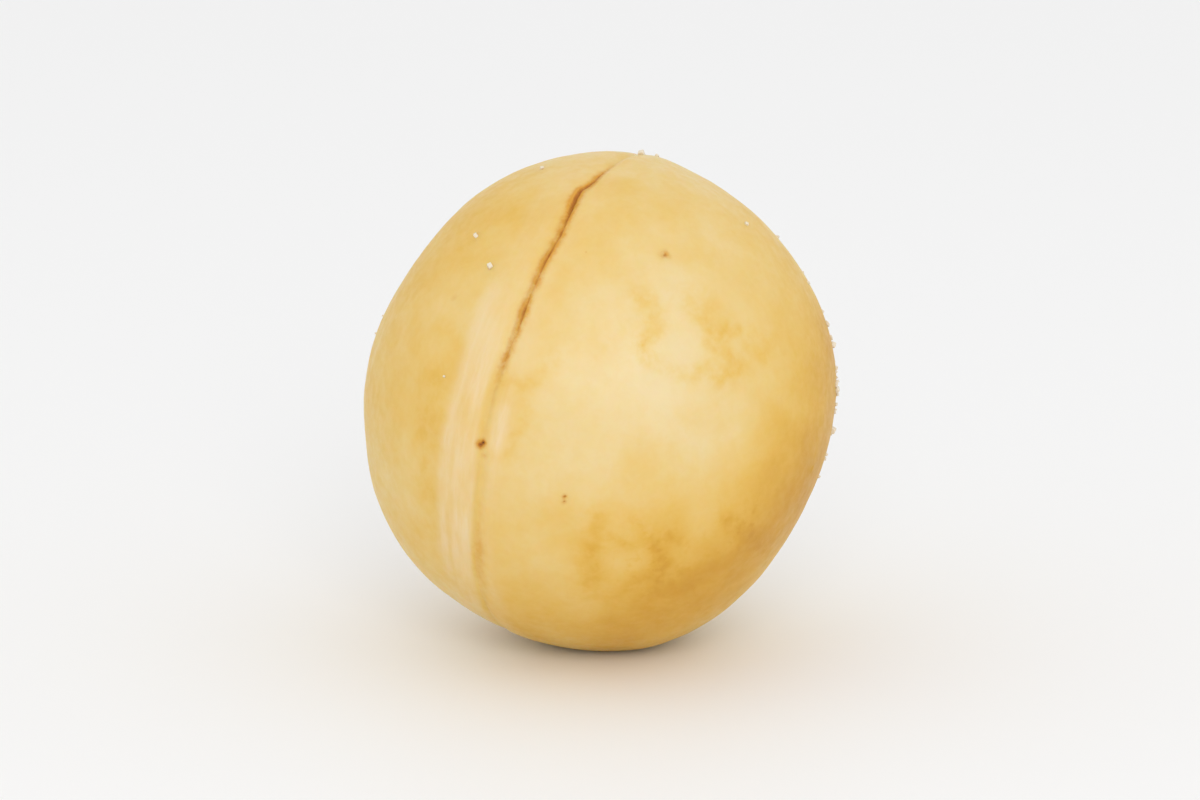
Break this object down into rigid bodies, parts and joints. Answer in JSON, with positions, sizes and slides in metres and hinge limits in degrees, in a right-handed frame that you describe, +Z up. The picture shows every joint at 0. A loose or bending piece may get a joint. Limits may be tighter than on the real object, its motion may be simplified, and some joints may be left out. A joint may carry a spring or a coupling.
{
  "type": "macadamia kernel",
  "caption": "Whole shelled macadamia kernel, nearly a ball, with a seam round it between its two halves, a short crack in the seam and a small flat spot that it rests on.",
  "frame": {"origin": "on the flat resting spot under the kernel, below the middle of its width and depth", "axes": "+Z up from the surface it rests on, +X to the right and +Y away from the viewer, with the cracked stretch of the seam facing -Y"},
  "size_m": [0.019, 0.0184, 0.0198],
  "materials": {
    "kernel": "satin",
    "salt": "satin"
  },
  "bodies": {
    "root": {"kernel": "kernel"}
  },
  "joints": []
}
